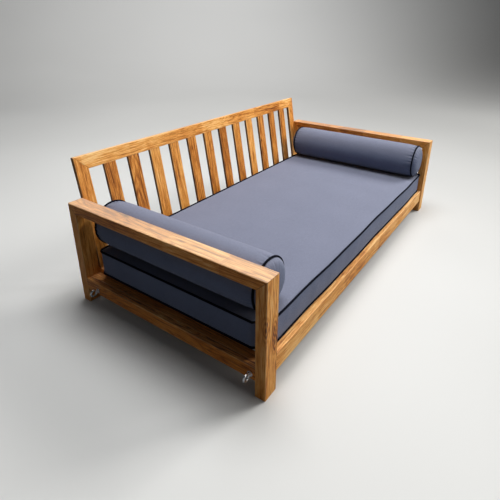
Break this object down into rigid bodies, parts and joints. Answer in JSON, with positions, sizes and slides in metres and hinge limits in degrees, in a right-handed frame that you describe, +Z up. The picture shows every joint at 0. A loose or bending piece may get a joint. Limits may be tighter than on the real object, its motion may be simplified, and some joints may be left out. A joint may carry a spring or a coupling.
{
  "type": "daybed",
  "caption": "Teak daybed with mitred end frames, a raked slatted back, a boxed piped mattress, a bolster at each end and eye bolts on the end rails.",
  "frame": {"origin": "on the floor, midway between the two ends and midway through the overall depth", "axes": "+Z up, +X along the bed to the right as seen from the open front, -Y to the front"},
  "size_m": [2.145, 1.0992, 0.6898],
  "materials": {
    "teak": "satin",
    "beech": "matte",
    "slate_blue_fabric": "matte",
    "navy_piping": "matte",
    "filling": "matte",
    "stainless_steel": "satin"
  },
  "bodies": {
    "frame": {"left_front_post": "teak", "left_rear_post": "teak", "left_arm_rail": "teak", "left_lower_rail": "teak", "left_inner_rail": "teak", "right_front_post": "teak", "right_rear_post": "teak", "right_arm_rail": "teak", "right_lower_rail": "teak", "right_inner_rail": "teak", "seat_front_rail": "teak", "seat_rear_rail": "teak", "seat_centre_bearer": "teak", "seat_front_cleat": "teak", "seat_rear_cleat": "teak", "seat_slat_1": "teak", "seat_slat_2": "teak", "seat_slat_3": "teak", "seat_slat_4": "teak", "seat_slat_5": "teak", "seat_slat_6": "teak", "seat_slat_7": "teak", "seat_slat_8": "teak", "seat_slat_9": "teak", "seat_slat_10": "teak", "seat_slat_11": "teak", "seat_slat_12": "teak", "back_top_rail": "teak", "back_bottom_rail": "teak", "back_left_stile": "teak", "back_right_stile": "teak", "back_slat_1": "teak", "back_slat_2": "teak", "back_slat_3": "teak", "back_slat_4": "teak", "back_slat_5": "teak", "back_slat_6": "teak", "back_slat_7": "teak", "back_slat_8": "teak", "back_slat_9": "teak", "back_slat_10": "teak", "back_slat_11": "teak", "back_slat_12": "teak", "left_front_eye_bolt": "stainless_steel", "left_rear_eye_bolt": "stainless_steel", "right_front_eye_bolt": "stainless_steel", "right_rear_eye_bolt": "stainless_steel", "eye_bolt_washers": "stainless_steel", "eye_bolt_nuts": "stainless_steel", "joint_dowels": "beech", "seat_slat_screws": "stainless_steel"},
    "mattress": {"mattress_core": "filling", "mattress_cover": "slate_blue_fabric", "mattress_piping": "navy_piping"},
    "left_bolster": {"left_bolster_core": "filling", "left_bolster_cover": "slate_blue_fabric", "left_bolster_piping": "navy_piping"},
    "right_bolster": {"right_bolster_core": "filling", "right_bolster_cover": "slate_blue_fabric", "right_bolster_piping": "navy_piping"}
  },
  "joints": [
    {"name": "mattress_lift", "type": "slide", "parent": "frame", "child": "mattress", "axis": [0, 0, 1], "range_m": [0, 0.56]},
    {"name": "left_bolster_lift", "type": "slide", "parent": "mattress", "child": "left_bolster", "axis": [0, 0, 1], "range_m": [0, 0.42]},
    {"name": "right_bolster_lift", "type": "slide", "parent": "mattress", "child": "right_bolster", "axis": [0, 0, 1], "range_m": [0, 0.42]}
  ]
}
